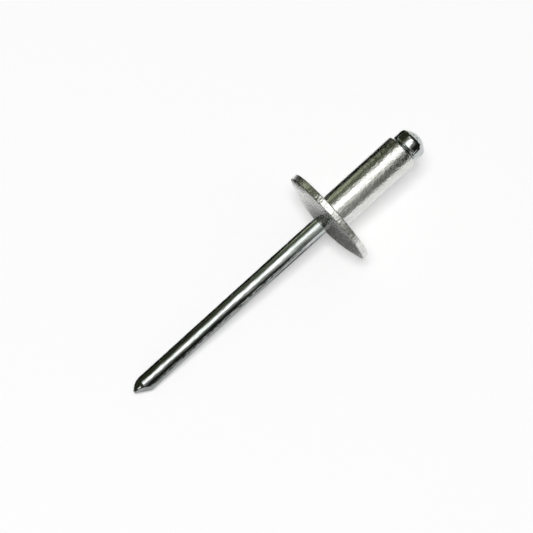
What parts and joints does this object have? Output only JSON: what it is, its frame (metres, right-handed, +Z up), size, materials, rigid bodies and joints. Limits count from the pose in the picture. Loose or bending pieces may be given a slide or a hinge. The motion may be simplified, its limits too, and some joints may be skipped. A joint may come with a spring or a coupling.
{
  "type": "pop rivet",
  "caption": "Unset blind rivet lying on its side: an aluminium body with a large domed flange, pre-loaded on a headed, pointed steel mandrel that a rivet tool pulls through it.",
  "frame": {"origin": "middle of the lying rivet in plan, at the height of the surface that it lies on", "axes": "+X along the rivet from the mandrel's point to its head, +Z up, +Y to the left seen from the point; the rivet's own axis lies in the XZ plane and rises 10.2 degrees towards the head"},
  "size_m": [0.041, 0.0116, 0.0116],
  "materials": {
    "body_aluminium": "satin cold-formed aluminium, tumbled, faintly mottled",
    "mandrel_steel": "bright zinc-plated drawn steel wire"
  },
  "bodies": {
    "root": {"rivet_body": "body_aluminium", "mandrel": "mandrel_steel"}
  },
  "joints": []
}
